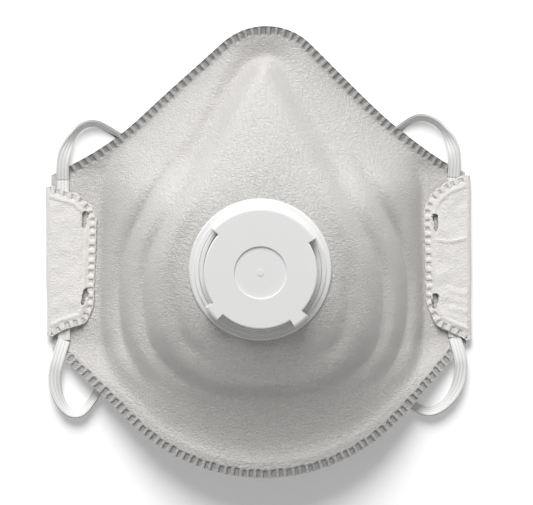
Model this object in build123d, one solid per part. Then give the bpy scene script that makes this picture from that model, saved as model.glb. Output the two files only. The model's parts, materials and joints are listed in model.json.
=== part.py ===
from build123d import *
import math
import os

import numpy as np

# Disposable moulded dust mask with an exhalation valve, lying on a table on its two folded side ears.
# Millimetres. +Z is up, away from the table, and is the way the valve faces. +Y points to the nose.
# The origin is on the table, under the middle of the mask.

# ---- Driving dimensions: the flat outline, seen from above -----------------------------------------
LENGTH = 138.4            # nose to chin
SPAN = 133.6              # fold to fold of the two ears
NOSE_R = 20.5             # round of the nose tip
FLANK_DEG = 42.0          # fall of the straight flank beside the nose
FLANK_STRAIGHT = 30.0     # length of that straight
CHIN_R = 60.0             # round of the chin
EAR_TOP_Y = 24.0          # ends of the ear's fold line
EAR_LOW_Y = -27.5
EAR_CORNER_R = 2.5

# ---- The cup ---------------------------------------------------------------------------------------
LAYERS = {                # from the face outwards: thickness along Z in the cup, and pressed flat
    "inner_lining": (0.5, 0.2),
    "support_shell": (1.2, 0.4),
    "filter_media": (1.0, 0.4),
    "outer_cover": (0.5, 0.2),
}
LAYER_GAP = 0.04
WELD_W = 2.8              # crimped weld round the rim
EAR_W = 16.3              # from the fold to where the cup's side meets the flat of the ear
SIDE_LONGER = 8.8         # the side trim is longer than the mask, so it only cuts the sides
SIDE_SQUARE = 4.0         # how square that trim is
FOOT_SHARP = 16.0         # how sharply it meets the line of the rim
NOSE_LIFT = 18.5          # the rim rises off the table towards the nose and the chin
CHIN_LIFT = 16.5
LIFT_FROM_NOSE = EAR_TOP_Y - 0.5
LIFT_FROM_CHIN = EAR_LOW_Y + 1.0
LIFT_BEND = 4.0           # length over which the rim bends upwards
POWER_SIDE = 1.5          # how full the cup's section is
POWER_CHIN = 1.35
POWER_NOSE = 1.6
CUP_SINK = 12.0           # how far the cup's surface is carried on below the flange

# ---- The raised centre panel, a drop with a squarish bottom and its point at the nose --------------
PANEL_R = 35.5            # its half width, and the round that its flanks leave
PANEL_Y = -13.0           # where it is widest
PANEL_LOW = 30.0          # how far it reaches below that
PANEL_SQUARE = 2.6
PANEL_NOSE_R = 3.0
PANEL_NOSE_Y = LENGTH / 2 - 15.2
PANEL_STEP = 2.6          # height of its edge under the valve
PANEL_NOSE_STEP = 5.0     # and towards the nose
RISER_IN = 4.0            # the sloping edge starts this far inside its line
RISER_W = 5.2             # and fades out over about twice this
RISER_POWER = 1.6

# ---- The valve, in its own frame: Z is its axis, 0 is the mask's outer face -------------------------
VALVE_Y = -5.0
VALVE_TILT = 6.0          # leans to the chin
VALVE_CLOCK = -5.5        # turned about its own axis
PLATEAU_Z = 42.5          # height of the flat the valve sits on, at its centre
SOCKET_R = 18.0           # the cover's ring drops in here
UPSTAND_R = SOCKET_R + 1.4
UPSTAND_TOP = 1.9
FLANGE_R = UPSTAND_R + 1.6
BASE_T = 1.2
PLATEAU_R = FLANGE_R + 0.5
TUBE_R = SOCKET_R - 1.6   # port tube through the wall
TUBE_T = 1.3
TUBE_CLEAR = 0.2
TUBE_TAIL = 1.9           # how far the tube stands out behind the retaining ring's seat
SEAT_R = 13.2
SEAT_W = 1.1
SEAT_TOP = 2.0
SPOKE_W = 1.3
SPOKE_T = 1.6
HUB_R = 2.4
RING_R = FLANGE_R - 0.4
RING_T = 1.6
FIT = 0.05                # between parts that are pushed together
FOOT_W = 1.25             # width of the cover's ring
FOOT_LAP = 0.15           # the cover's disc ends this far inside its ring
DISC_R = SOCKET_R - FIT - FOOT_W - FOOT_LAP
COVER_TOP = 8.3
COVER_WALL = 1.2
COVER_RING_TOP = 2.9
LEG_STEP = 1.1            # the legs and the hood stand this far outside the socket
LEG_DEG = 14.5
LEG_AT = 44.6             # the two legs stand this far to each side of the bottom
HOOD_HALF_DEG = 52.7      # the closed top sector
DISH_R = 7.6
DISH_DEEP = 0.5
GATE_R = 1.0
FLAP_R = SEAT_R + 1.4     # silicone disc
FLAP_T = 0.45
FLAP_LIFT = 0.02          # it rests on the seat with a hair's gap
HINGE_Y = FLAP_R - 3.1
HINGE_GAP = 0.12
ROOT_TOP_Y = FLAP_R
ROOT_HALF_W = 8.5
PEG_R = 0.8
PEG_CLEAR = 0.1
PEG_X = 5.0
PEG_TALL = 1.1
CLAMP_W = 14.0
CLAMP_T = 1.4

# ---- The folded ears and the elastic ---------------------------------------------------------------
BAND_W = 4.0
BAND_T = 0.9
BAND_X = SPAN / 2 - 5.4   # the band's middle inside the sleeve
BAND_D = 2.0              # the plain tube that stands for the free band
BAND_OUT_TOP = 0.4        # the sleeve's stretch ends this far outside the front layer
BAND_OUT_LOW = 0.6
SLEEVE_GAP = 1.25         # room for the band between the layers
EAR_T = 1.0
FLAP_TOP_Y = EAR_TOP_Y - 1.2          # the ear's front layer, where it leaves the fold
FLAP_LOW_Y = EAR_LOW_Y + 0.9
FLAP_INNER_TOP = (SPAN / 2 - 15.6, FLAP_TOP_Y - 5.2)
FLAP_INNER_LOW = (SPAN / 2 - 13.8, FLAP_LOW_Y + 3.2)
FLAP_CORNER_R = 4.5
FLAP_WELD_T = 0.8
SLOT_L = 5.7
SLOT_W = 1.6
SLOT_X = SPAN / 2 - 10.5
SLOT_YS = (FLAP_TOP_Y - 11.8, FLAP_LOW_Y + 12.0)

# ---- The foam inside the nose ----------------------------------------------------------------------
FOAM_T = 4.0
FOAM_W = 11.0
FOAM_INSET = 4.0
FOAM_HALF_SPAN = 30.0

GRID_STEP = 3.6           # spacing of the points that carry the cup's surface
FIT_TOLERANCES = (0.5, 0.7, 0.35, 1.0)
FOLLOWS = 0.6             # the surface stays this near to its formula
DEEP = 120.0              # longer than anything here

CUP_T = sum(cup for cup, flat in LAYERS.values())
FLANGE_T = sum(flat for cup, flat in LAYERS.values())


def turned(x, y, degrees):
    a = math.radians(degrees)
    return x * math.cos(a) - y * math.sin(a), x * math.sin(a) + y * math.cos(a)


# ---- Outline ---------------------------------------------------------------------------------------
def outline_corners():
    """The right half's corner points, worked out from the driving dimensions."""
    a = math.radians(FLANK_DEG)
    nose_c = LENGTH / 2 - NOSE_R
    nose_end = (NOSE_R * math.sin(a), nose_c + NOSE_R * math.cos(a))
    bend = (nose_end[0] + FLANK_STRAIGHT * math.cos(a), nose_end[1] - FLANK_STRAIGHT * math.sin(a))
    ear_top = (SPAN / 2, EAR_TOP_Y)
    ear_low = (SPAN / 2, EAR_LOW_Y)
    chin_c = -LENGTH / 2 + CHIN_R
    reach = math.hypot(ear_low[0], ear_low[1] - chin_c)
    angle = math.atan2(ear_low[0], chin_c - ear_low[1]) - math.acos(CHIN_R / reach)
    chin_end = (CHIN_R * math.sin(angle), chin_c - CHIN_R * math.cos(angle))
    return nose_end, bend, ear_top, ear_low, chin_end


def outline_face():
    nose_end, bend, ear_top, ear_low, chin_end = outline_corners()
    away = (math.cos(math.radians(FLANK_DEG)), -math.sin(math.radians(FLANK_DEG)))

    def left(p):
        return (-p[0], p[1])

    edges = [
        ThreePointArc(left(nose_end), (0, LENGTH / 2), nose_end),
        Line(nose_end, bend),
        TangentArc(bend, ear_top, tangent=away),
        Line(ear_top, ear_low),
        Line(ear_low, chin_end),
        ThreePointArc(chin_end, (0, -LENGTH / 2), left(chin_end)),
        Line(left(chin_end), left(ear_low)),
        Line(left(ear_low), left(ear_top)),
        TangentArc(left(bend), left(ear_top), tangent=(-away[0], away[1])),
        Line(left(bend), left(nose_end)),
    ]
    flat = make_face(edges)
    ears = [v for v in flat.vertices() if abs(v.X) > SPAN / 2 - 0.01]
    return fillet(ears, EAR_CORNER_R).face()


OUTLINE = outline_face()


def radius_of(face, around_y, count=720):
    """Angle and radius of a face's edge, seen from a point on the Y axis, for interpolation."""
    wire = face.outer_wire()
    points = [wire.position_at(k / count) for k in range(count)]
    angle = np.array([math.atan2(p.Y - around_y, p.X) for p in points])
    radius = np.array([math.hypot(p.X, p.Y - around_y) for p in points])
    order = np.argsort(angle)
    return angle[order], radius[order]


EDGE_ANGLE, EDGE_RADIUS = radius_of(OUTLINE, VALVE_Y)


def cup_radius(theta):
    """Where the cup meets its flange: just inside the weld, and trimmed by a squarish oval at the sides."""
    rim = np.interp(theta, EDGE_ANGLE, EDGE_RADIUS, period=2 * math.pi) - WELD_W - 0.6
    half_w, half_l, n = SPAN / 2 - EAR_W, LENGTH / 2 + SIDE_LONGER, SIDE_SQUARE
    side = (np.abs(np.cos(theta) / half_w) ** n + np.abs(np.sin(theta) / half_l) ** n) ** (-1 / n)
    return (rim**-FOOT_SHARP + side**-FOOT_SHARP) ** (-1 / FOOT_SHARP)


# ---- The cup's surface as a formula ----------------------------------------------------------------
def smooth(a, b, v):
    t = np.clip((v - a) / (b - a), 0, 1)
    return t * t * (3 - 2 * t)


def ramp(v, bend):
    """0 up to v = 0, then a gentle bend, then a slope of 1."""
    inside = np.clip(v, 0, bend)
    return inside**2 / (2 * bend) + np.clip(v - bend, 0, None)


NOSE_SLOPE = NOSE_LIFT / (LENGTH / 2 - LIFT_FROM_NOSE - LIFT_BEND / 2)
CHIN_SLOPE = CHIN_LIFT / (LENGTH / 2 + LIFT_FROM_CHIN - LIFT_BEND / 2)


def rim_height(y):
    """The rim's underside: flat between the ears, lifted at the nose and at the chin."""
    up = ramp(y - LIFT_FROM_NOSE, LIFT_BEND)
    down = ramp(LIFT_FROM_CHIN - y, LIFT_BEND)
    return NOSE_SLOPE * up + CHIN_SLOPE * down


def panel_distance(x, y):
    """Distance outside the centre panel: an oval low half, and tangents up to a narrow nose."""
    px, py = np.abs(x), y - PANEL_Y
    far = PANEL_NOSE_Y - PANEL_Y
    b = (PANEL_R - PANEL_NOSE_R) / far
    a = math.sqrt(1 - b * b)
    k = -px * b + py * a
    share = (px / PANEL_R) ** PANEL_SQUARE + (np.clip(-py, 0, None) / PANEL_LOW) ** PANEL_SQUARE
    low = np.hypot(px, py) * (1 - np.clip(share, 1e-9, None) ** (-1 / PANEL_SQUARE))
    side = np.hypot(px, py) - PANEL_R
    high = np.hypot(px, py - far) - PANEL_NOSE_R
    upper = np.where(k < 0, side, np.where(k > a * far, high, px * a + py * b - PANEL_R))
    return np.where(py < 0, np.clip(low, -PANEL_R, None), upper)


def cup_height(x, y):
    """Outer face of the cup: the valve's plane bends down to the foot, with the panel on top of it.

    Past the foot it is carried on below the flange, so that the two cut each other cleanly.
    """
    theta = np.arctan2(y - VALVE_Y, x)
    out = np.hypot(x, y - VALVE_Y) - PLATEAU_R
    t = np.clip(out / (cup_radius(theta) - PLATEAU_R), 0, None)
    up = np.clip(np.sin(theta), 0, 1) ** 2
    down = np.clip(-np.sin(theta), 0, 1) ** 2
    power = POWER_SIDE + (POWER_NOSE - POWER_SIDE) * up + (POWER_CHIN - POWER_SIDE) * down
    foot = rim_height(y) + FLANGE_T
    step = PANEL_STEP + (PANEL_NOSE_STEP - PANEL_STEP) * smooth(VALVE_Y, PANEL_NOSE_Y, y)
    plane = PLATEAU_Z + (y - VALVE_Y) * math.tan(math.radians(VALVE_TILT))
    tall = plane - step - foot
    inside = tall * (1 - np.clip(t, 0, 1) ** power)
    outside = -CUP_SINK * (1 - np.exp(-tall * power / CUP_SINK * np.clip(t - 1, 0, None)))
    edge = np.clip(panel_distance(x, y) + RISER_IN, 0, None) / RISER_W
    return foot + np.where(t < 1, inside, outside) + step * np.exp(-(edge**RISER_POWER))


def cup_surface():
    """A smooth surface through a grid of the formula's points, tested against the formula."""
    reach = (SPAN / 2 + GRID_STEP, LENGTH / 2 + GRID_STEP)
    xs, ys = (np.linspace(-r, r, round(2 * r / GRID_STEP) + 1) for r in reach)
    gx, gy = np.meshgrid(xs, ys, indexing="ij")
    gz = cup_height(gx, gy)
    rows = [[Vector(gx[i, j], gy[i, j], gz[i, j]) for j in range(len(ys))] for i in range(len(xs))]
    best, least = None, math.inf
    for tol in FIT_TOLERANCES:
        face = Face.make_surface_from_array_of_points(rows, tol=tol, min_deg=3, max_deg=3)
        tries = [face.position_at(u, v) for u in np.linspace(0, 1, 24) for v in np.linspace(0, 1, 24)]
        off = max(abs(p.Z - float(cup_height(np.float64(p.X), np.float64(p.Y)))) for p in tries)
        if off < least:
            best, least = face, off
        if least < FOLLOWS:
            break
    print("cup surface is within", round(least, 2), "mm of its formula")
    return best


def flange_profile():
    """The rim's underside in Y and Z: flat in the middle, with a bend and a slope at each end."""
    far = LENGTH
    nose_bend = (LIFT_FROM_NOSE + LIFT_BEND / 2, 0)
    chin_bend = (LIFT_FROM_CHIN - LIFT_BEND / 2, 0)
    nose_far = (far, NOSE_SLOPE * (far - nose_bend[0]))
    chin_far = (-far, CHIN_SLOPE * (far + chin_bend[0]))
    turns = (math.atan(CHIN_SLOPE), math.atan(NOSE_SLOPE))
    radii = [LIFT_BEND / 2 / math.tan(turn / 2) for turn in turns]
    top = FilletPolyline(chin_far, chin_bend, nose_bend, nose_far, radius=radii)
    sides = Polyline(nose_far, (far, -DEEP), (-far, -DEEP), chin_far)
    return make_face(top.edges() + sides.edges())


def laminate_tops():
    """The solid under the lining's inner face, and under each web's outer face, lining first."""
    cup = Solid.extrude(cup_surface(), Vector(0, 0, -DEEP))
    profile = Plane((-SPAN, 0, 0), x_dir=(0, 1, 0), z_dir=(1, 0, 0)) * flange_profile()
    flange = extrude(profile, amount=2 * SPAN, dir=(1, 0, 0))
    cup_drop, flat_drop = CUP_T, FLANGE_T
    tops = []
    for cup_t, flat_t in [(0, 0), *LAYERS.values()]:
        cup_drop -= cup_t
        flat_drop -= flat_t
        tops.append(Pos(0, 0, -cup_drop) * cup + Pos(0, 0, FLANGE_T - flat_drop) * flange)
    return tops


def prism(face):
    return Pos(0, 0, -DEEP / 2) * extrude(face, amount=2 * DEEP, dir=(0, 0, 1))


def one_solid(shape):
    """The largest solid of a cut, without crumbs."""
    return max(shape.solids(), key=lambda s: s.volume)


VALVE_FRAME = (
    Location((0, VALVE_Y, PLATEAU_Z)) * Rotation(VALVE_TILT, 0, 0) * Rotation(0, 0, VALVE_CLOCK)
)
FOLD_R = (FLANGE_T + SLEEVE_GAP + EAR_T) / 2    # outer radius of the ear's fold
FOLD_X = SPAN / 2 - FOLD_R                      # the fold's centre line


def layers(tops):
    """The four webs of the laminate, each its own thin cup, ending where the ear's fold begins."""
    body = prism(OUTLINE & Rectangle(2 * FOLD_X, 2 * LENGTH).face())
    port = VALVE_FRAME * Cylinder(TUBE_R + TUBE_CLEAR, 6 * CUP_T)
    made = {}
    for name, under, top in zip(LAYERS, tops, tops[1:]):
        lifted = under if under is tops[0] else Pos(0, 0, LAYER_GAP) * under
        made[name] = one_solid((body & top) - lifted - port)
    return made


# ---- Ears ------------------------------------------------------------------------------------------
def ear_section():
    """The fold and the front layer in X and Z, for the right side, from the weld round to the fold."""
    low = FLANGE_T
    front = FLANGE_T + SLEEVE_GAP
    top = front + EAR_T
    ramp_out, ramp_in = BAND_X - BAND_W / 2 - 1.4, BAND_X - BAND_W / 2 - 3.6
    inner = FLAP_INNER_TOP[0] - 3
    r_in = FOLD_R - EAR_T
    edges = [
        Line((inner, low), (ramp_in, low)),
        Line((ramp_in, low), (ramp_out, front)),
        Line((ramp_out, front), (FOLD_X, front)),
        ThreePointArc((FOLD_X, front), (FOLD_X + r_in, FOLD_R), (FOLD_X, FOLD_R - r_in)),
        Line((FOLD_X, FOLD_R - r_in), (FOLD_X, 0)),
        ThreePointArc((FOLD_X, 0), (FOLD_X + FOLD_R, FOLD_R), (FOLD_X, top)),
        Line((FOLD_X, top), (ramp_out, top)),
        Line((ramp_out, top), (ramp_in, low + FLAP_WELD_T)),
        Line((ramp_in, low + FLAP_WELD_T), (inner, low + FLAP_WELD_T)),
        Line((inner, low + FLAP_WELD_T), (inner, low)),
    ]
    return make_face(edges)


def ear_plan():
    """The front layer from above: two rounded inner corners and two slots."""
    corners = [(SPAN / 2, FLAP_TOP_Y), FLAP_INNER_TOP, FLAP_INNER_LOW, (SPAN / 2, FLAP_LOW_Y)]
    plan = make_face(Polyline(*corners, close=True).edges())
    inner = [v for v in plan.vertices() if v.X < SPAN / 2 - 1]
    plan = fillet(inner, FLAP_CORNER_R)
    for y in SLOT_YS:
        plan -= Pos(SLOT_X, y) * SlotOverall(SLOT_L, SLOT_W, rotation=90)
    return plan


def ears(laminate_top):
    """The right ear is the section drawn along Y, cut to its plan; the left one is its mirror."""
    section = Plane((0, -LENGTH / 2, 0), x_dir=(1, 0, 0), z_dir=(0, -1, 0)) * ear_section()
    bar = extrude(section, amount=LENGTH, dir=(0, 1, 0))
    plan = prism(ear_plan())
    right = one_solid((bar & plan) - laminate_top)
    return {"right_ear": right, "left_ear": mirror(right, about=Plane.YZ)}


def sleeve_bands():
    """The stretch of the elastic inside each sleeve."""
    top, low = FLAP_TOP_Y + BAND_OUT_TOP, FLAP_LOW_Y - BAND_OUT_LOW
    middle = FLANGE_T + SLEEVE_GAP / 2
    band = Pos(BAND_X, (top + low) / 2, middle) * Box(BAND_W, top - low, BAND_T)
    return {"right_sleeve_band": band, "left_sleeve_band": mirror(band, about=Plane.YZ)}


# ---- The free elastic ------------------------------------------------------------------------------
# Each route runs from the left sleeve to the right one: out of the sleeve, round a loose loop beside
# the ear, under the rim, across the table inside the cup, and back the same way on the right.
OVER = 2.4                # height of the tube's centre where it leaves a sleeve
OVER_BACK = 4.0           # and where it crosses the ear's back layer
ON_TABLE = 1.15
HEAD_ROUTE = [
    (-61.4, 23.2, OVER), (-61.5, 29.3, OVER_BACK), (-59.3, 35.6, 2.8), (-56.1, 40.0, 2.1),
    (-51.4, 41.4, 1.5), (-46.9, 39.2, ON_TABLE), (-41.8, 35.8, ON_TABLE),
    (-36.0, 28.5, ON_TABLE), (-29.5, 16.5, ON_TABLE), (-20.5, 5.0, ON_TABLE),
    (-8.0, -2.5, ON_TABLE), (7.0, -3.0, ON_TABLE), (19.5, 4.5, ON_TABLE),
    (29.0, 16.5, ON_TABLE), (36.0, 29.0, ON_TABLE), (42.0, 36.8, ON_TABLE),
    (46.9, 40.9, 1.3), (51.0, 42.7, 1.6), (56.4, 40.8, 2.2), (60.5, 35.6, 2.9),
    (61.9, 29.3, OVER_BACK), (61.4, 23.2, OVER),
]
NECK_ROUTE = [
    (-61.4, -27.2, OVER), (-63.2, -33.0, OVER_BACK), (-64.5, -38.6, 2.8), (-63.6, -45.0, 2.0),
    (-60.5, -49.9, 1.4), (-56.1, -50.4, ON_TABLE), (-53.0, -46.6, ON_TABLE),
    (-50.2, -42.2, ON_TABLE), (-46.2, -38.4, ON_TABLE), (-40.8, -34.4, ON_TABLE),
    (-35.0, -28.6, ON_TABLE), (-27.0, -26.0, ON_TABLE), (-19.5, -30.0, ON_TABLE),
    (-12.5, -37.5, ON_TABLE), (-4.0, -42.5, ON_TABLE), (6.5, -42.0, ON_TABLE),
    (15.0, -36.0, ON_TABLE), (23.5, -31.5, ON_TABLE), (32.5, -33.0, ON_TABLE),
    (39.2, -39.6, ON_TABLE), (44.0, -44.8, ON_TABLE), (47.9, -48.4, ON_TABLE),
    (52.6, -50.9, ON_TABLE), (57.6, -49.1, 1.5), (61.2, -44.2, 2.2), (62.8, -37.8, 2.9),
    (62.6, -32.6, OVER_BACK), (61.4, -27.2, OVER),
]
ARC_SHARE = 0.45


def corner_radii(route):
    """The largest tangent arc that each corner's two runs allow."""
    radii = []
    for a, b, c in zip(route, route[1:], route[2:]):
        before, after = Vector(*b) - Vector(*a), Vector(*c) - Vector(*b)
        turn = math.radians(before.get_angle(after))
        radii.append(ARC_SHARE * min(before.length, after.length) / math.tan(turn / 2))
    return radii


def free_band(name, route):
    radii = corner_radii(route)
    path = FilletPolyline(*route, radius=radii)
    start = Vector(*route[1]) - Vector(*route[0])
    disc = Plane(origin=route[0], z_dir=start) * Circle(BAND_D / 2)
    tube = sweep(disc, path=path)
    ideal = math.pi * BAND_D**2 / 4 * path.length
    print(name, "length", round(path.length, 1), "volume over ideal", round(tube.volume / ideal, 4))
    print("   radii", *(round(r, 1) for r in radii))
    return tube


# ---- Nose foam -------------------------------------------------------------------------------------
def nose_foam(inner_face):
    """A soft strip glued along the inside of the nose, as an inverted V with a round top."""
    outer = offset(OUTLINE, -(WELD_W + FOAM_INSET)).face()
    inner = offset(OUTLINE, -(WELD_W + FOAM_INSET + FOAM_W)).face()
    low_y = LENGTH / 2 - NOSE_R - FOAM_HALF_SPAN * math.tan(math.radians(FLANK_DEG))
    window = (Pos(0, low_y + LENGTH / 2) * Rectangle(2 * FOAM_HALF_SPAN, LENGTH)).face()
    strip = prism(((outer - inner) & window))
    top = Pos(0, 0, -LAYER_GAP) * inner_face
    return one_solid((strip & top) - Pos(0, 0, -FOAM_T) * top)


# ---- Valve -----------------------------------------------------------------------------------------
def ring(r_out, r_in, low, high):
    tall = high - low
    outer = Pos(0, 0, low + tall / 2) * Cylinder(r_out, tall)
    return outer - Pos(0, 0, low + tall / 2) * Cylinder(r_in, 2 * tall)


def sector(r, half_deg, middle_deg, low, high):
    """A wedge of a disc, for cutting windows and keeping legs."""
    reach = r / math.cos(math.radians(half_deg))
    a, b = middle_deg - half_deg, middle_deg + half_deg
    tip = [(0, 0), turned(reach, 0, a), turned(reach, 0, middle_deg), turned(reach, 0, b)]
    wedge = make_face(Polyline(*tip, close=True).edges())
    return Pos(0, 0, low) * extrude(wedge, amount=high - low, dir=(0, 0, 1))


def wall_depth():
    """Depth of the laminate along the valve's axis."""
    return CUP_T * math.cos(math.radians(VALVE_TILT))


def valve_base():
    flange = ring(FLANGE_R, SEAT_R - SEAT_W, 0, BASE_T)
    lip = [e for e in flange.edges().filter_by(GeomType.CIRCLE) if abs(e.radius - FLANGE_R) < 0.01]
    flange = fillet([e for e in lip if e.center().Z > BASE_T / 2], BASE_T / 2)
    upstand = ring(UPSTAND_R, SOCKET_R, BASE_T / 2, UPSTAND_TOP)
    rim = [e for e in upstand.edges().filter_by(GeomType.CIRCLE) if e.center().Z > UPSTAND_TOP - 0.01]
    upstand = fillet(rim, 0.3)
    seat = ring(SEAT_R, SEAT_R - SEAT_W, BASE_T / 2, SEAT_TOP)
    depth = wall_depth() + FIT + RING_T + TUBE_TAIL
    tube = ring(TUBE_R, TUBE_R - TUBE_T, -depth, BASE_T / 2)
    hub = Pos(0, 0, BASE_T - SPOKE_T / 2) * Cylinder(HUB_R, SPOKE_T)
    spokes = [
        Rotation(0, 0, a) * Pos(0, 0, BASE_T - SPOKE_T / 2) * Box(2 * SEAT_R - SEAT_W, SPOKE_W, SPOKE_T)
        for a in (45, 135)
    ]
    shelf = Pos(0, (HINGE_Y + ROOT_TOP_Y) / 2 + 0.4, SEAT_TOP / 2) * Box(
        2 * ROOT_HALF_W, ROOT_TOP_Y - HINGE_Y + 0.8, SEAT_TOP
    )
    shelf = shelf & Pos(0, 0, SEAT_TOP / 2) * Cylinder(DISC_R, SEAT_TOP)
    pegs = [
        Pos(x, (HINGE_Y + ROOT_TOP_Y) / 2, SEAT_TOP / 2 + PEG_TALL / 2)
        * Cylinder(PEG_R, SEAT_TOP + PEG_TALL)
        for x in (-PEG_X, PEG_X)
    ]
    return one_solid(flange + upstand + seat + tube + hub + spokes + shelf + pegs)


def retaining_ring():
    top = -wall_depth() - FIT
    made = ring(RING_R, TUBE_R + FIT, top - RING_T, top)
    back = [e for e in made.edges().filter_by(GeomType.CIRCLE)
            if e.center().Z < top - RING_T + 0.01 and e.radius > TUBE_R + 1]
    return fillet(back, 0.6)


def valve_cover():
    """Disc on two legs and a closed hood, standing on a ring that drops into the base's socket."""
    under = COVER_TOP - COVER_WALL
    leg_r = SOCKET_R + LEG_STEP
    disc = Pos(0, 0, COVER_TOP - COVER_WALL / 2) * Cylinder(DISC_R, COVER_WALL)
    foot = ring(SOCKET_R - FIT, SOCKET_R - FIT - FOOT_W, BASE_T + FIT, COVER_RING_TOP)
    skirt = ring(leg_r, SOCKET_R - 1.2, UPSTAND_TOP + FIT, COVER_TOP)
    crown = ring(leg_r, DISC_R - 0.8, under, COVER_TOP)
    wall = skirt + crown
    top_edge = [e for e in wall.edges().filter_by(GeomType.CIRCLE)
                if e.center().Z > COVER_TOP - 0.01 and e.radius > leg_r - 0.01]
    wall = fillet(top_edge, 1.1)
    kept = sector(leg_r + 1, HOOD_HALF_DEG, 90, 0, COVER_TOP + 1)
    for side in (-1, 1):
        kept += sector(leg_r + 1, LEG_DEG / 2, 270 + side * LEG_AT, 0, COVER_TOP + 1)
    wall = wall & kept
    foot_edges = [e for e in foot.edges().filter_by(GeomType.CIRCLE)
                  if e.center().Z > COVER_RING_TOP - 0.01 and e.radius > SOCKET_R - 1]
    foot = fillet(foot_edges, 0.35)
    rounded = [e for e in disc.edges().filter_by(GeomType.CIRCLE) if e.center().Z > under + 0.1]
    disc = fillet(rounded, 0.5)
    clamp_y = (HINGE_Y + ROOT_TOP_Y) / 2
    clamp_low = SEAT_TOP + FLAP_T + FIT
    clamp = Pos(0, clamp_y, (clamp_low + under + 0.3) / 2) * Box(CLAMP_W, CLAMP_T, under + 0.3 - clamp_low)
    for x in (-PEG_X, PEG_X):
        clamp -= Pos(x, clamp_y, clamp_low) * Cylinder(PEG_R + 2 * PEG_CLEAR, 2 * PEG_TALL)
    dish = Pos(0, 0, COVER_TOP - DISH_DEEP / 2) * Cylinder(DISH_R, DISH_DEEP)
    dish_floor = COVER_TOP - DISH_DEEP
    made = (disc + foot + wall + clamp) - dish
    floor = [e for e in made.edges().filter_by(GeomType.CIRCLE)
             if abs(e.radius - DISH_R) < 0.01 and e.center().Z > COVER_TOP - 0.01]
    made = fillet(floor, 0.2)
    gate = Pos(0, 0, dish_floor) * Cylinder(GATE_R, 0.3)
    return one_solid(made + gate)


def diaphragm():
    """One silicone disc in the real valve: its clamped edge and the flap that lifts."""
    whole = Pos(0, 0, SEAT_TOP + FLAP_T / 2) * Cylinder(FLAP_R, FLAP_T)
    free = Pos(0, HINGE_Y - HINGE_GAP - FLAP_R, SEAT_TOP) * Box(4 * FLAP_R, 2 * FLAP_R, 4 * FLAP_T)
    tab = Pos(0, (HINGE_Y + ROOT_TOP_Y) / 2, SEAT_TOP + FLAP_T / 2) * Box(
        2 * ROOT_HALF_W - 1, ROOT_TOP_Y - HINGE_Y, FLAP_T
    )
    for x in (-PEG_X, PEG_X):
        tab -= Pos(x, (HINGE_Y + ROOT_TOP_Y) / 2, SEAT_TOP) * Cylinder(PEG_R + PEG_CLEAR, 4 * FLAP_T)
    root = tab & Pos(0, 0, SEAT_TOP) * Cylinder(DISC_R - 0.3, 4 * FLAP_T)
    lift = Pos(0, 0, FLAP_LIFT)
    return {"diaphragm_root": lift * root, "diaphragm_flap": lift * (whole & free)}


def main():
    tops = laminate_tops()
    made = layers(tops)
    made |= ears(tops[-1])
    made |= sleeve_bands()
    made["head_strap"] = free_band("head_strap", HEAD_ROUTE)
    made["neck_strap"] = free_band("neck_strap", NECK_ROUTE)
    made["nose_foam"] = nose_foam(tops[0])
    valve = {
        "valve_base": valve_base(),
        "valve_retaining_ring": retaining_ring(),
        "valve_cover": valve_cover(),
        **diaphragm(),
    }
    made |= {name: VALVE_FRAME * shape for name, shape in valve.items()}
    os.makedirs("parts", exist_ok=True)
    for name, shape in made.items():
        export_step(shape, f"parts/{name}.step")
    hinge = VALVE_FRAME * Location((0, HINGE_Y, SEAT_TOP + FLAP_T))
    along = (VALVE_FRAME * Location((1, HINGE_Y, SEAT_TOP + FLAP_T))).position - hinge.position
    print("flap hinge at", hinge.position, "along", along)


main()
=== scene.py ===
import json
import math

import bmesh
import bpy
import numpy as np
from mathutils import Matrix, Vector, noise


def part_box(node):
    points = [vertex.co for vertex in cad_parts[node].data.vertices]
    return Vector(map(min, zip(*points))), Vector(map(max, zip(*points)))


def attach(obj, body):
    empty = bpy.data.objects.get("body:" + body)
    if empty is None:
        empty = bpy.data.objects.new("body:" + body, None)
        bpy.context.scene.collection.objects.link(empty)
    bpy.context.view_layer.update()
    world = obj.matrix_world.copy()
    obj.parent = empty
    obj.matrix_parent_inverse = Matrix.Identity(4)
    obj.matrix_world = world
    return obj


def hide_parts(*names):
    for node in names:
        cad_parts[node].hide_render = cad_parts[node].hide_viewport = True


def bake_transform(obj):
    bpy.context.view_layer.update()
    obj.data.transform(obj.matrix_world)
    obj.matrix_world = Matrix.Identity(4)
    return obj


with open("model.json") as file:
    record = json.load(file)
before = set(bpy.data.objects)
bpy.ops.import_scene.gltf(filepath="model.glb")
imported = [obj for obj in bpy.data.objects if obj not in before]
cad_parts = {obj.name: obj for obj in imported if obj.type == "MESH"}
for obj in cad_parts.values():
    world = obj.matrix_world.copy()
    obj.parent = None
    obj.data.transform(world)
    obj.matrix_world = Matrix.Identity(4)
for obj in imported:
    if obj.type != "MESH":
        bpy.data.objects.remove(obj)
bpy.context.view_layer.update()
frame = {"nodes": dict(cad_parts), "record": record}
MM = 0.001

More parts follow.
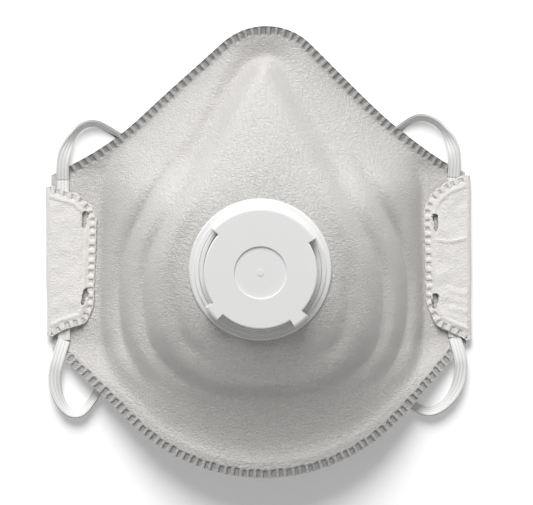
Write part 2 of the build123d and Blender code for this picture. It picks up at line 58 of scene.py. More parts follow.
# ---- Sizes in millimetres, read from the frame where a node shows them ------------------------------
COVER_LOW, COVER_HIGH = (np.array(v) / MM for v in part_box("outer_cover"))
LENGTH = COVER_HIGH[1] - COVER_LOW[1]
FOLD_X = COVER_HIGH[0]                       # the webs end here and the ear's fold begins
SPAN = 2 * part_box("right_ear")[1][0] / MM
NOSE_R, FLANK_DEG, FLANK_STRAIGHT, CHIN_R = 20.5, 42.0, 30.0, 60.0      # the outline, nose to chin
EAR_TOP_Y, EAR_LOW_Y, EAR_CORNER_R = 24.0, -27.5, 2.5
WELD_W, FOOT_GAP = 2.8, 0.6                  # pressed band along the rim, and from there to the cup
EAR_W, SIDE_LONGER = 16.3, 8.8               # trims the cup beside the ears
NOSE_LIFT, CHIN_LIFT, LIFT_BEND = 18.5, 16.5, 4.0    # the rim bends up from the table at both ends
LIFT_FROM_NOSE, LIFT_FROM_CHIN = EAR_TOP_Y - 0.5, EAR_LOW_Y + 1.0
POWER_SIDE, POWER_CHIN, POWER_NOSE = 1.5, 1.35, 1.6  # how round the cup is in each direction
SIDE_SQUARE, FOOT_SHARP = 4.0, 16.0          # how square the side trim is, and how sharp its corners
PANEL_R, PANEL_Y, PANEL_LOW = 35.5, -13.0, 30.0      # half width of the centre panel, its middle, low half
PANEL_SQUARE, PANEL_NOSE_R, PANEL_NOSE_Y = 2.6, 3.0, LENGTH / 2 - 15.2
PANEL_STEP, PANEL_NOSE_STEP = 2.6, 5.0       # how far the panel stands out, and at the nose
RISER_IN, RISER_W = 4.0, 5.2                 # the panel's edge starts inside its line and fades outwards
VALVE_Y, VALVE_TILT, VALVE_CLOCK = -5.0, 6.0, -5.5
PLATEAU_Z, PLATEAU_R, PORT_R = 42.5, 21.5, 16.9      # the flat under the valve, and its hole
CUP_SINK = 12.0                              # how far the cup's surface goes on under the flange
WEBS = {"inner_lining": (0.5, 0.2), "support_shell": (1.2, 0.4), "filter_media": (1.0, 0.4),
        "outer_cover": (0.5, 0.2)}           # thickness along Z in the cup, and pressed flat
CUP_T = sum(cup for cup, flat in WEBS.values())
FLANGE_T = sum(flat for cup, flat in WEBS.values())
WEB_GAP = 0.04                               # between one web and the next
CHIN_SLOPE = 0.55                            # slope of the flange round the chin
CREASE = 2.2                                 # rounds the crease at the foot of the cup
EAR_T, SLEEVE_GAP = 1.0, 1.25
FOLD_R = (FLANGE_T + SLEEVE_GAP + EAR_T) / 2
TICK_PITCH, TICK_DEEP = 2.35, 0.34           # the weld's bars
STITCH = 0.85                                # pitch of the elastic's stitches
SEED = 7


# ---- Small helpers ---------------------------------------------------------------------------------
def smooth(a, b, v):
    t = np.clip((v - a) / (b - a), 0, 1)
    return t * t * (3 - 2 * t)


def hill(v, middle, half_width):
    return np.exp(-(((v - middle) / half_width) ** 2))


def soft_noise(points, size, seed=0):
    """Perlin noise, about -1 to 1, at points given in millimetres."""
    shift = Vector((seed * 17.3, seed * 5.1, seed * 9.7))
    return np.array([noise.noise(Vector(p) / size + shift) for p in points])


def arc(cx, cy, r, a, b, count):
    return [(cx + r * math.cos(t), cy + r * math.sin(t)) for t in np.linspace(a, b, count)]


def rounded(corners, radii, count=12):
    """A closed outline through corners, each rounded by its radius."""
    points = []
    n = len(corners)
    for i, r in enumerate(radii):
        p, q, s = (np.array(corners[k % n], float) for k in (i - 1, i, i + 1))
        if r <= 0:
            points.append(tuple(q))
            continue
        a, b = (p - q) / np.linalg.norm(p - q), (s - q) / np.linalg.norm(s - q)
        half = math.acos(np.clip(a @ b, -1, 1)) / 2
        centre = q + (a + b) / np.linalg.norm(a + b) * r / math.sin(half)
        start, end = q + a * r / math.tan(half), q + b * r / math.tan(half)
        u, v = start - centre, end - centre
        turn = math.atan2(u[0] * v[1] - u[1] * v[0], u @ v)
        for t in np.linspace(0, turn, count):
            c, d = math.cos(t), math.sin(t)
            points.append((centre[0] + u[0] * c - u[1] * d, centre[1] + u[0] * d + u[1] * c))
    return points


def evenly(points, count, closed=True):
    """count points at even steps along a polyline, and its length."""
    pts = np.array(points, float)
    if closed:
        pts = np.vstack([pts, pts[:1]])
    along = np.concatenate([[0], np.cumsum(np.linalg.norm(np.diff(pts, axis=0), axis=1))])
    want = np.linspace(0, along[-1], count + 1 if closed else count)
    out = np.column_stack([np.interp(want, along, pts[:, k]) for k in range(pts.shape[1])])
    return out[:-1] if closed else out, along[-1]


def mesh_object(name, verts_mm, faces, smooth_faces=True):
    mesh = bpy.data.meshes.new(name)
    mesh.from_pydata((np.asarray(verts_mm) * MM).tolist(), [], faces)
    mesh.update()
    if smooth_faces:
        mesh.polygons.foreach_set("use_smooth", [True] * len(mesh.polygons))
    obj = bpy.data.objects.new(name, mesh)
    bpy.context.scene.collection.objects.link(obj)
    return obj


def grid_faces(rows, cols, offset=0, closed=False, flip=False):
    """Quads over rows of points; closed joins each row's last point to its first."""
    faces = []
    last = cols if closed else cols - 1
    for i in range(rows - 1):
        for j in range(last):
            k = (j + 1) % cols
            a, b = offset + i * cols + j, offset + i * cols + k
            c, d = offset + (i + 1) * cols + k, offset + (i + 1) * cols + j
            faces.append((a, d, c, b) if flip else (a, b, c, d))
    return faces


def set_attribute(obj, name, values):
    attribute = obj.data.attributes.new(name, "FLOAT", "POINT")
    attribute.data.foreach_set("value", np.asarray(values, np.float32))


def face_outwards(obj):
    bm = bmesh.new()
    bm.from_mesh(obj.data)
    bmesh.ops.recalc_face_normals(bm, faces=bm.faces)
    bm.to_mesh(obj.data)
    bm.free()


def drop_loose_points(obj):
    bm = bmesh.new()
    bm.from_mesh(obj.data)
    bmesh.ops.delete(bm, geom=[v for v in bm.verts if not v.link_faces], context="VERTS")
    bm.to_mesh(obj.data)
    bm.free()


def apply_modifiers(obj):
    bpy.context.view_layer.update()
    evaluated = obj.evaluated_get(bpy.context.evaluated_depsgraph_get())
    mesh = bpy.data.meshes.new_from_object(evaluated)
    obj.modifiers.clear()
    obj.data = mesh


# ---- Outline of the mask, seen from above -----------------------------------------------------------
def half_outline():
    """The right half from the nose round to the chin."""
    a = math.radians(FLANK_DEG)
    nose_c = LENGTH / 2 - NOSE_R
    nose = arc(0, nose_c, NOSE_R, math.pi / 2, math.pi / 2 - a, 40)
    away = np.array([math.cos(a), -math.sin(a)])
    bend = np.array(nose[-1]) + FLANK_STRAIGHT * away
    ear_top, ear_low = np.array([SPAN / 2, EAR_TOP_Y]), np.array([SPAN / 2, EAR_LOW_Y])
    left = np.array([-away[1], away[0]])
    reach = ear_top - bend
    r = (reach @ reach) / (2 * reach @ left)
    centre = bend + r * left
    a0, a1 = (math.atan2(*(p - centre)[::-1]) for p in (bend, ear_top))
    clear = 1.3 * EAR_CORNER_R                   # leaves room for the ear's rounded corner
    hollow = [p for p in arc(*centre, r, a0, a1, 40) if math.dist(p, ear_top) > clear]
    chin_c = -LENGTH / 2 + CHIN_R
    far = math.hypot(ear_low[0], ear_low[1] - chin_c)
    angle = math.atan2(ear_low[0], chin_c - ear_low[1]) - math.acos(CHIN_R / far)
    chin = arc(0, chin_c, CHIN_R, angle - math.pi / 2, -math.pi / 2, 80)
    corners = nose + hollow + [tuple(ear_top), tuple(ear_low)] + chin
    radii = [0] * (len(nose) + len(hollow)) + [EAR_CORNER_R] * 2 + [0] * len(chin)
    return corners, radii


def whole_outline():
    corners, radii = half_outline()
    left = [(-x, y) for x, y in reversed(corners[1:-1])]
    return rounded(corners + left, radii + radii[1:-1][::-1])


RIM_POINTS, RIM_ROUND = evenly(whole_outline(), 1280)
SPOKES = RIM_POINTS - [0, VALVE_Y]           # from the valve to each point of the rim
BY_ANGLE = np.argsort(np.arctan2(SPOKES[:, 1], SPOKES[:, 0]))
RIM_ANGLE = np.arctan2(SPOKES[:, 1], SPOKES[:, 0])[BY_ANGLE]
RIM_RADIUS = np.hypot(SPOKES[:, 0], SPOKES[:, 1])[BY_ANGLE]


# ---- Height of the laminate -------------------------------------------------------------------------
def ramp(v, bend):
    """Nothing below zero, then a rounded bend into a straight slope of 1."""
    inside = np.clip(v, 0, bend)
    return inside**2 / (2 * bend) + np.clip(v - bend, 0, None)


def rim_height(y):
    """Height of the rim's underside: on the table in the middle, raised at nose and chin."""
    nose = NOSE_LIFT / (LENGTH / 2 - LIFT_FROM_NOSE - LIFT_BEND / 2)
    chin = CHIN_LIFT / (LENGTH / 2 + LIFT_FROM_CHIN - LIFT_BEND / 2)
    return nose * ramp(y - LIFT_FROM_NOSE, LIFT_BEND) + chin * ramp(LIFT_FROM_CHIN - y, LIFT_BEND)


def panel_distance(x, y):
    """Distance outside the raised centre panel: a drop with a squarish bottom and its point at the nose."""
    px, py = np.abs(x), y - PANEL_Y
    far = PANEL_NOSE_Y - PANEL_Y
    b = (PANEL_R - PANEL_NOSE_R) / far
    a = math.sqrt(1 - b * b)
    k = -px * b + py * a
    share = (px / PANEL_R) ** PANEL_SQUARE + (np.clip(-py, 0, None) / PANEL_LOW) ** PANEL_SQUARE
    low = np.hypot(px, py) * (1 - np.clip(share, 1e-9, None) ** (-1 / PANEL_SQUARE))
    side = np.hypot(px, py) - PANEL_R
    high = np.hypot(px, py - far) - PANEL_NOSE_R
    upper = np.where(k < 0, side, np.where(k > a * far, high, px * a + py * b - PANEL_R))
    return np.where(py < 0, np.clip(low, -PANEL_R, None), upper)


def cup_radius(theta):
    """From the valve's middle to the foot of the cup, which keeps clear of the weld and the ears."""
    rim = np.interp(theta, RIM_ANGLE, RIM_RADIUS, period=2 * math.pi) - WELD_W - FOOT_GAP
    half_w, half_l, n = SPAN / 2 - EAR_W, LENGTH / 2 + SIDE_LONGER, SIDE_SQUARE
    side = (np.abs(np.cos(theta) / half_w) ** n + np.abs(np.sin(theta) / half_l) ** n) ** (-1 / n)
    return (rim**-FOOT_SHARP + side**-FOOT_SHARP) ** (-1 / FOOT_SHARP)


def groove(d, middle, half_width):
    """A crease with a rounded bottom between two bulges."""
    return np.exp(-(np.sqrt((d - middle) ** 2 + 0.35) - 0.59) / half_width)


SIDE_RIBS = (                                # shape, place outside the panel's line, half width, height
    (hill, 4.9, 2.6, 1.5), (groove, 9.2, 1.6, -2.4), (hill, 13.2, 2.6, 1.2),
    (hill, -10.0, 1.9, -0.8), (hill, -4.8, 2.8, 0.9),
)


def relief(x, y):
    """Grooves pressed round the centre panel, the bulges between them, and a channel at the nose."""
    d = panel_distance(x, y)
    off_valve = smooth(22, 28, np.hypot(x, y - VALVE_Y))
    nose, tip = smooth(4, 30, y), smooth(44, 60, y)
    wide = smooth(10, 24, np.abs(x))
    side = smooth(-44, -24, y) * (1 - smooth(18, 34, y)) * wide
    low_side = smooth(-46, -26, y) * (1 - nose) * wide
    under_valve = 0.2 * (1 - wide) * smooth(10, 40, -y)
    channel = (4.4 - 0.8 * np.tanh(x / 6) + 0.6 * tip) * nose
    ribs = -2.3 * (low_side + under_valve) * groove(d, 0.8, 1.7) - channel * hill(d, 3.3, 3.9)
    for shape, place, half_width, height in SIDE_RIBS:
        ribs += height * shape(d, place, half_width) * side
    ridge = smooth(28, 40, y) * (1 - smooth(54, 58, y)) * np.where(x < 0, 1.0, 0.35)
    ribs += 0.45 * ridge * hill(d, -1.2, 0.8)
    return ribs * off_valve


def cup_height(x, y):
    """Outer face of the cup: the valve's plane bends down to the foot, with the panel on top of it."""
    theta = np.arctan2(y - VALVE_Y, x)
    radius = cup_radius(theta)
    t = np.clip((np.hypot(x, y - VALVE_Y) - PLATEAU_R) / (radius - PLATEAU_R), 0, None)
    up, down = np.clip(np.sin(theta), 0, 1) ** 2, np.clip(-np.sin(theta), 0, 1) ** 2
    power = POWER_SIDE + (POWER_NOSE - POWER_SIDE) * up + (POWER_CHIN - POWER_SIDE) * down
    foot = rim_height(y) + FLANGE_T
    step = PANEL_STEP + (PANEL_NOSE_STEP - PANEL_STEP) * smooth(VALVE_Y, PANEL_NOSE_Y, y)
    plane = PLATEAU_Z + (y - VALVE_Y) * math.tan(math.radians(VALVE_TILT))
    tall = plane - step - foot
    inside = tall * (1 - np.clip(t, 0, 1) ** power)
    outside = -CUP_SINK * (1 - np.exp(-tall * power / CUP_SINK * np.clip(t - 1, 0, None)))
    past = np.clip(panel_distance(x, y) + RISER_IN, 0, None) / RISER_W
    panel = step * np.exp(-(past**1.6))
    return foot + np.where(t < 1, inside, outside) + panel


def lean(x, y):
    """The cup stands a little to one side of its ears, and its nose a little more."""
    body = smooth(24, 42, np.hypot(x, y - VALVE_Y)) * (1 - smooth(44, 62, np.abs(x)))
    return 1.2 * body + 1.2 * smooth(44, 68, y)


def web_height(x, y, cup_drop, flat_level, inward=0.0):
    """The flange, sloping outwards at the chin, and the cup, joined with a rounded crease."""
    slope = CHIN_SLOPE * smooth(30, 46, -y)
    flange = rim_height(y) + flat_level + slope * np.clip(inward, 0, WELD_W + 2)
    rise = cup_height(x, y) + relief(x, y) - cup_drop - flange
    return flange + 0.5 * (rise + np.sqrt(rise**2 + CREASE**2))


# ---- Materials --------------------------------------------------------------------------------------
class Nodes:
    """Short calls for building one material's node tree."""

    def __init__(self, name):
        self.material = bpy.data.materials.new(name)
        self.material.use_nodes = True
        self.tree = self.material.node_tree
        self.tree.nodes.clear()
        self.out = self.add("ShaderNodeOutputMaterial")
        self.shader = self.add("ShaderNodeBsdfPrincipled")
        self.tree.links.new(self.shader.outputs[0], self.out.inputs[0])

    def add(self, kind, **inputs):
        node = self.tree.nodes.new(kind)
        for key, value in inputs.items():
            self.feed(node.inputs[key], value)
        return node

    def feed(self, socket, value):
        """Links a socket to another node's output, or sets it to a constant."""
        if isinstance(value, bpy.types.NodeSocket):
            self.tree.links.new(value, socket)
        else:
            socket.default_value = value

    def coords(self, scale, turn=0.0):
        """Object coordinates in millimetres, scaled and turned."""
        where = self.add("ShaderNodeTexCoord")
        mapping = self.add("ShaderNodeMapping", Vector=where.outputs["Object"])
        mapping.inputs["Scale"].default_value = [s / MM for s in scale]
        mapping.inputs["Rotation"].default_value = (0, 0, turn)
        return mapping.outputs[0]

    def noise(self, vector, detail=3.0, rough=0.55, distortion=0.0):
        node = self.add("ShaderNodeTexNoise", Vector=vector, Scale=1.0, Detail=detail,
                        Roughness=rough, Distortion=distortion)
        return node.outputs[0]

    def maths(self, operation, a, b=0.0):
        node = self.tree.nodes.new("ShaderNodeMath")
        node.operation = operation
        for socket, value in zip(node.inputs, (a, b)):
            self.feed(socket, value)
        return node.outputs[0]

    def ramp(self, fac, stops):
        node = self.add("ShaderNodeValToRGB", Fac=fac)
        while len(node.color_ramp.elements) < len(stops):
            node.color_ramp.elements.new(0.5)
        for element, (position, colour) in zip(node.color_ramp.elements, stops):
            element.position = position
            element.color = (*colour, 1)
        return node.outputs[0]

    def mix(self, fac, a, b):
        node = self.tree.nodes.new("ShaderNodeMix")
        node.data_type = "RGBA"
        for key, value in (("Factor", fac), ("A", a), ("B", b)):
            socket = next(s for s in node.inputs if s.name == key and s.enabled)
            self.feed(socket, (*value, 1) if isinstance(value, tuple) else value)
        return next(s for s in node.outputs if s.enabled)

    def attribute(self, name):
        node = self.tree.nodes.new("ShaderNodeAttribute")
        node.attribute_name = name
        return node.outputs["Fac"]

    def bump(self, height, distance_mm, strength=1.0):
        node = self.add("ShaderNodeBump", Height=height, Distance=distance_mm * MM, Strength=strength)
        return node.outputs[0]

    def finish(self, colour, roughness, normal, **constants):
        for key, value in (("Base Color", colour), ("Roughness", roughness), ("Normal", normal)):
            self.feed(self.shader.inputs[key], value)
        for key, value in constants.items():
            self.shader.inputs[key.replace("_", " ")].default_value = value
        return self.material


def toned(tone, share):
    return tuple(c * share for c in tone)


def web_material(name, tone, fuzz=1.0, weld=0.0):
    """Nonwoven felt: curled wrinkles of the fibre mat, loose fibres over them, and its pressed weld, with
    painted shade in the wrinkles' hollows and partly in the weld's bars.
    """
    n = Nodes(name)
    curl = n.noise(n.coords((1.3, 1.3, 1.3)), detail=3.0, rough=0.65, distortion=0.9)
    strands = n.noise(n.coords((0.8, 2.6, 2.0), 0.6), detail=3.0, rough=0.65, distortion=0.9)
    cross = n.noise(n.coords((2.4, 0.9, 2.0), 0.3), detail=3.0, rough=0.65, distortion=0.9)
    fibres = n.maths("ADD", strands, cross)
    clouds = n.noise(n.coords((0.11, 0.11, 0.11)), detail=3.0)
    height = n.maths("ADD", n.maths("MULTIPLY", curl, 0.9), n.maths("MULTIPLY", fibres, 0.6))
    # Painted shade: the colour follows the bump's wrinkles and fibres, lighter on their crests and darker
    # in their hollows.
    shade = n.maths("ADD", n.maths("MULTIPLY", fibres, 0.4), n.maths("MULTIPLY", curl, 0.3))
    colour = n.mix(shade, toned(tone, 0.86), toned(tone, 1.08))
    colour = n.mix(n.maths("MULTIPLY", clouds, 0.4), colour, toned(tone, 1.04))
    if weld:
        band, pressed = n.attribute("band"), n.attribute("weld")
        colour = n.mix(n.maths("MULTIPLY", band, weld * 0.7), colour, toned(tone, 0.62))
        # The pressed bars darken the colour: partly the grey of the welded fibres, partly painted shade in
        # the pressed grooves.
        colour = n.mix(n.maths("MULTIPLY", pressed, weld), colour, toned(tone, 0.33))
        height = n.maths("MULTIPLY", height, n.maths("SUBTRACT", 1.0, n.maths("MULTIPLY", pressed, 0.7)))
    rough = n.maths("ADD", 0.6, n.maths("MULTIPLY", fibres, 0.1))
    normal = n.bump(height, 0.6 * fuzz, 1.0)
    return n.finish(colour, rough, normal, Sheen_Weight=0.2, Sheen_Roughness=0.5, Specular_IOR_Level=0.35)


def plastic_material(name, tone, rough=0.38):
    n = Nodes(name)
    clouds = n.noise(n.coords((0.05, 0.05, 0.05)), detail=2.0)
    grain = n.noise(n.coords((5.0, 5.0, 5.0)), detail=2.0)
    colour = n.mix(clouds, toned(tone, 0.97), tone)
    roughness = n.maths("ADD", rough, n.maths("MULTIPLY", grain, 0.12))
    normal = n.bump(n.maths("ADD", grain, n.maths("MULTIPLY", clouds, 2.0)), 0.01, 0.5)
    return n.finish(colour, roughness, normal, Subsurface_Weight=0.08, Subsurface_Scale=0.002, IOR=1.46)


def elastic_material(name, tone):
    """Covered elastic threads, with the small slanted stitches of the braid."""
    n = Nodes(name)
    along, across = n.attribute("along"), n.attribute("across")
    turns = n.maths("MULTIPLY", along, 2 * math.pi / STITCH)
    slant = n.maths("MULTIPLY", n.maths("PINGPONG", across, 0.5), 9.0)
    stitch = n.maths("SINE", n.maths("ADD", turns, slant))
    threads = n.noise(n.coords((4.0, 4.0, 4.0)), detail=3.0)
    valley = n.maths("COSINE", n.maths("MULTIPLY", across, 2 * math.pi))
    shade = n.maths("ADD", n.maths("MULTIPLY", valley, 0.32), 0.55)
    colour = n.mix(shade, toned(tone, 0.74), tone)
    height = n.maths("ADD", n.maths("MULTIPLY", stitch, 0.4), threads)
    return n.finish(colour, n.maths("ADD", 0.7, n.maths("MULTIPLY", threads, 0.15)),
                    n.bump(height, 0.09, 0.8), Sheen_Weight=0.15, Specular_IOR_Level=0.3)


def foam_material(name, tone):
    n = Nodes(name)
    cells = n.add("ShaderNodeTexVoronoi", Vector=n.coords((2.4, 2.4, 2.4)), Scale=1.0).outputs[0]
    small = n.add("ShaderNodeTexVoronoi", Vector=n.coords((5.5, 5.5, 5.5)), Scale=1.0).outputs[0]
    height = n.maths("ADD", cells, n.maths("MULTIPLY", small, 0.5))
    # Painted shade: the colour is darker where the bump sinks into the foam's cells.
    colour = n.ramp(height, [(0.1, toned(tone, 0.6)), (0.65, tone)])
    return n.finish(colour, n.maths("ADD", 0.75, n.maths("MULTIPLY", cells, 0.2)), n.bump(height, 0.25))


def silicone_material(name, tone):
    n = Nodes(name)
    clouds = n.noise(n.coords((0.2, 0.2, 0.2)), detail=2.0)
    colour = n.mix(clouds, toned(tone, 0.94), tone)
    return n.finish(colour, n.maths("ADD", 0.35, n.maths("MULTIPLY", clouds, 0.15)),
                    n.bump(clouds, 0.02, 0.4), Subsurface_Weight=0.15, Subsurface_Scale=0.001)


MATERIALS = {
    "cover_web": web_material("cover_web_felt", (0.76, 0.74, 0.715), 1.4, weld=0.75),
    "filter": web_material("filter_web", (0.84, 0.84, 0.83), 0.5),
    "shell": web_material("shell_felt", (0.80, 0.79, 0.77), 0.8),
    "lining": web_material("lining_web", (0.84, 0.835, 0.82), 0.6, weld=0.6),
    "elastic": elastic_material("braided_elastic", (0.83, 0.83, 0.815)),
    "foam": foam_material("nose_foam_cells", (0.66, 0.66, 0.65)),
    "valve_plastic": plastic_material("valve_polymer", (0.77, 0.77, 0.76), 0.48),
    "silicone": silicone_material("flap_silicone", (0.72, 0.73, 0.72)),
}
EAR_FELT = web_material("ear_felt", (0.80, 0.78, 0.755), 0.6, weld=0.35)
SLOTS = {s["node"]: s["material_slot"] for s in frame["record"]["subparts"]}


def dress(piece, slot_name, body, *nodes):
    """Gives a piece the material named by its slot, hides the CAD nodes it stands for, and hangs it on the
    body it rides on.
    """
    piece.data.materials.clear()
    piece.data.materials.append(MATERIALS[slot_name])
    if nodes:
        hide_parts(*nodes)
    if body:
        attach(piece, body)
    return piece


# ---- Camera, floor and light ------------------------------------------------------------------------
def add_camera():
    """Above the mask, a little towards -X, with the nose at the top of the picture."""
    data = bpy.data.cameras.new("camera")
    camera = bpy.data.objects.new("camera", data)
    bpy.context.scene.collection.objects.link(camera)
    height, frame_width, lean = 0.650, 0.1680, math.radians(0.7)
    aim = Vector((0.0024, 0.0, 0.0))
    camera.location = aim + Vector((-math.sin(lean) * height, 0, math.cos(lean) * height))
    back = (camera.location - aim).normalized()
    right = Vector((0, 1, 0)).cross(back).normalized()
    look = Matrix((right, back.cross(right), back)).transposed()
    roll = Matrix.Rotation(math.radians(-0.4), 3, "Z")
    camera.rotation_euler = (look @ roll).to_euler()
    data.sensor_width = 36.0
    data.lens = data.sensor_width * height / frame_width
    data.clip_start, data.clip_end = 0.01, 20.0
    bpy.context.scene.camera = camera


SKY_LIGHT, FLOOR_GLOW = 0.33, 0.12
KEY_AT, KEY_TOWARDS, KEY_SIZE, KEY_WATTS = (-0.13, 0.98, 0.94), (0, 0, 0.02), 0.90, 22.0
FLOOR_HALF, FLOOR_Z = 1.6, -0.0002


def add_key_light():
    data = bpy.data.lights.new("key", "AREA")
    data.shape = "DISK"
    data.size, data.energy = KEY_SIZE, KEY_WATTS
    light = bpy.data.objects.new("key", data)
    bpy.context.scene.collection.objects.link(light)
    light.location = KEY_AT
    light.rotation_euler = (Vector(KEY_TOWARDS) - Vector(KEY_AT)).to_track_quat("-Z", "Y").to_euler()


def add_studio():
    """A soft key light from beyond the nose, an even sky and a pale paper floor."""
    world = bpy.data.worlds.new("studio")
    world.use_nodes = True
    world.node_tree.nodes["Background"].inputs[0].default_value = (1.0, 1.0, 1.0, 1)
    world.node_tree.nodes["Background"].inputs[1].default_value = SKY_LIGHT
    bpy.context.scene.world = world
    bpy.context.scene.view_settings.view_transform = "Standard"
    add_key_light()
    corners = [(-1, -1, 0), (1, -1, 0), (1, 1, 0), (-1, 1, 0)]
    floor = mesh_object("floor", np.array(corners) * FLOOR_HALF / MM, [(0, 1, 2, 3)], False)
    floor.location.z = FLOOR_Z
    n = Nodes("floor_paper")
    clouds = n.noise(n.coords((0.004, 0.004, 0.004)))
    n.finish(n.mix(clouds, (0.93, 0.93, 0.93), (0.95, 0.95, 0.95)), n.maths("ADD", 0.85, 0.05),
             n.bump(clouds, 0.02, 0.2), Emission_Color=(1, 1, 1, 1), Emission_Strength=FLOOR_GLOW)
    floor.data.materials.append(n.material)


# ---- The elastic ------------------------------------------------------------------------------------
# The same points as the CAD routes, in metres: out of the left sleeve, round its loop, under the rim,
# across the table inside the cup, and back the same way on the right.
HEAD_ROUTE = [
    (-0.0614, 0.0232, 0.00185), (-0.0615, 0.0293, 0.0038), (-0.0593, 0.0356, 0.0030),
    (-0.0561, 0.0400, 0.0023), (-0.0514, 0.0414, 0.0021), (-0.0469, 0.0392, 0.0010),
    (-0.0418, 0.0358, 0.0005), (-0.0360, 0.0285, 0.0005), (-0.0295, 0.0165, 0.0005),
    (-0.0205, 0.0050, 0.0005), (-0.0080, -0.0025, 0.0005), (0.0070, -0.0030, 0.0005),
    (0.0195, 0.0045, 0.0005), (0.0290, 0.0165, 0.0005), (0.0360, 0.0290, 0.0005),
    (0.0420, 0.0368, 0.0005), (0.0469, 0.0409, 0.0011), (0.0510, 0.0427, 0.0021),
    (0.0564, 0.0408, 0.0024), (0.0605, 0.0356, 0.0030), (0.0619, 0.0293, 0.0038),
    (0.0614, 0.0232, 0.00185),
]
NECK_ROUTE = [
    (-0.0614, -0.0272, 0.00185), (-0.0632, -0.0330, 0.0038), (-0.0645, -0.0386, 0.0030),
    (-0.0636, -0.0450, 0.0024), (-0.0605, -0.0499, 0.0021), (-0.0561, -0.0504, 0.0021),
    (-0.0530, -0.0466, 0.0016), (-0.0502, -0.0422, 0.0008), (-0.0462, -0.0384, 0.0005),
    (-0.0408, -0.0344, 0.0005), (-0.0350, -0.0286, 0.0005), (-0.0270, -0.0260, 0.0005),
    (-0.0195, -0.0300, 0.0005), (-0.0125, -0.0375, 0.0005), (-0.0040, -0.0425, 0.0005),
    (0.0065, -0.0420, 0.0005), (0.0150, -0.0360, 0.0005), (0.0235, -0.0315, 0.0005),
    (0.0325, -0.0330, 0.0005), (0.0392, -0.0396, 0.0005), (0.0440, -0.0448, 0.0006),
    (0.0479, -0.0484, 0.0014), (0.0526, -0.0509, 0.0021), (0.0576, -0.0491, 0.0021),
    (0.0616, -0.0442, 0.0024), (0.0634, -0.0378, 0.0030), (0.0630, -0.0326, 0.0038),
    (0.0614, -0.0272, 0.00185),
]
BAND_W, BAND_T, BAND_CORDS = 4.0, 0.95, 4    # width and thickness of the flat band, cords side by side
BAND_EDGE, RIB_DEEP = 0.35, 0.15             # round of its edges, and of the valleys between cords


def spline_points(route):
    """Points along the smooth line that a NURBS spline draws from a route."""
    data = bpy.data.curves.new("route", "CURVE")
    data.dimensions = "3D"
    data.resolution_u = 12
    spline = data.splines.new("NURBS")
    spline.points.add(len(route) - 1)
    for point, where in zip(spline.points, route):
        point.co = (*where, 1)
    spline.order_u = 3
    spline.use_endpoint_u = True
    holder = bpy.data.objects.new("route", data)
    bpy.context.scene.collection.objects.link(holder)
    bpy.context.view_layer.update()
    mesh = bpy.data.meshes.new_from_object(holder.evaluated_get(bpy.context.evaluated_depsgraph_get()))
    points = [v.co.copy() for v in mesh.vertices]
    bpy.data.objects.remove(holder)
    return points


def band_section():
    """The band's section: round edges and a row of cords on both faces. Gives (x, z, place) rows."""
    rows = []
    for face in (1, -1):
        for x in np.linspace(-BAND_W / 2, BAND_W / 2, 29)[:: -face]:
            edge = min(1.0, (BAND_W / 2 - abs(x)) / BAND_EDGE)
            half = BAND_T / 2 * math.sqrt(max(0.0, 1 - (1 - edge) ** 2))
            place = (x + BAND_W / 2) / (BAND_W / BAND_CORDS)
            rib = RIB_DEEP * (0.5 + 0.5 * math.cos(2 * math.pi * place))
            rows.append((x, face * max(0.0, half - rib * edge), place))
    return rows


def band(name, points_m, roll, step=0.4):
    """A ribbed flat band along points; roll gives its turn about its own length, 0 lying flat."""
    path, length = evenly([tuple(p / MM) for p in points_m], 2, closed=False)
    count = max(8, round(length / step))
    path, length = evenly([tuple(p / MM) for p in points_m], count, closed=False)
    section = band_section()
    verts, along, across = [], [], []
    for k, p in enumerate(path):
        t = Vector(path[min(k + 1, count - 1)]) - Vector(path[max(k - 1, 0)])
        t.normalize()
        flat = Vector((0, 0, 1)).cross(t).normalized()
        s = k / (count - 1) * length
        turn = Matrix.Rotation(roll(s, length), 3, t)
        wide, up = turn @ flat, turn @ t.cross(flat)
        for x, z, place in section:
            weave = 1 + 0.05 * math.sin(2 * math.pi * (s / STITCH + 1.4 * abs(place % 1 - 0.5)))
            spot = Vector(p) + wide * x + up * (z * weave)
            spot.z = max(spot.z, 0.0)            # rests on the table
            verts.append(spot)
            along.append(s)
            across.append(place)
    n = len(section)
    faces = grid_faces(count, n, closed=True, flip=True)
    faces.append(tuple(range(n)))
    faces.append(tuple(range((count - 1) * n, count * n))[::-1])
    obj = mesh_object(name, [tuple(v) for v in verts], faces)
    set_attribute(obj, "along", along)
    set_attribute(obj, "across", across)
    return obj, length * MM


def loop_roll(rise, fall, degrees):
    """The band leaves its sleeve flat, leans over round its loop, and lies flat again on the table."""

    def roll(s, length):
        near = min(s, length - s)
        return math.radians(degrees) * float(smooth(*rise, near) * (1 - smooth(*fall, near)))

    return roll


ELASTICS = {                                 # route, where the lean begins and ends along it, degrees
    "head_strap": (HEAD_ROUTE, ((5.0, 17.0), (30.0, 44.0), 66.0)),
    "neck_strap": (NECK_ROUTE, ((9.0, 24.0), (34.0, 48.0), -52.0)),
}


def add_elastic():
    for name, (route, turns) in ELASTICS.items():
        points = spline_points(route)
        obj, length = band(name + "_band", points, loop_roll(*turns))
        dress(obj, "elastic", "root", name)
    for name in ("left_sleeve_band", "right_sleeve_band"):
        low, high = (Vector(v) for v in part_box(name))
        middle = (low + high) / 2
        ends = [Vector((middle.x, low.y, middle.z)), Vector((middle.x, high.y, middle.z))]
        obj = band(name + "_braid", ends, lambda s, length: 0.0)[0]
        dress(obj, "elastic", "root", name)


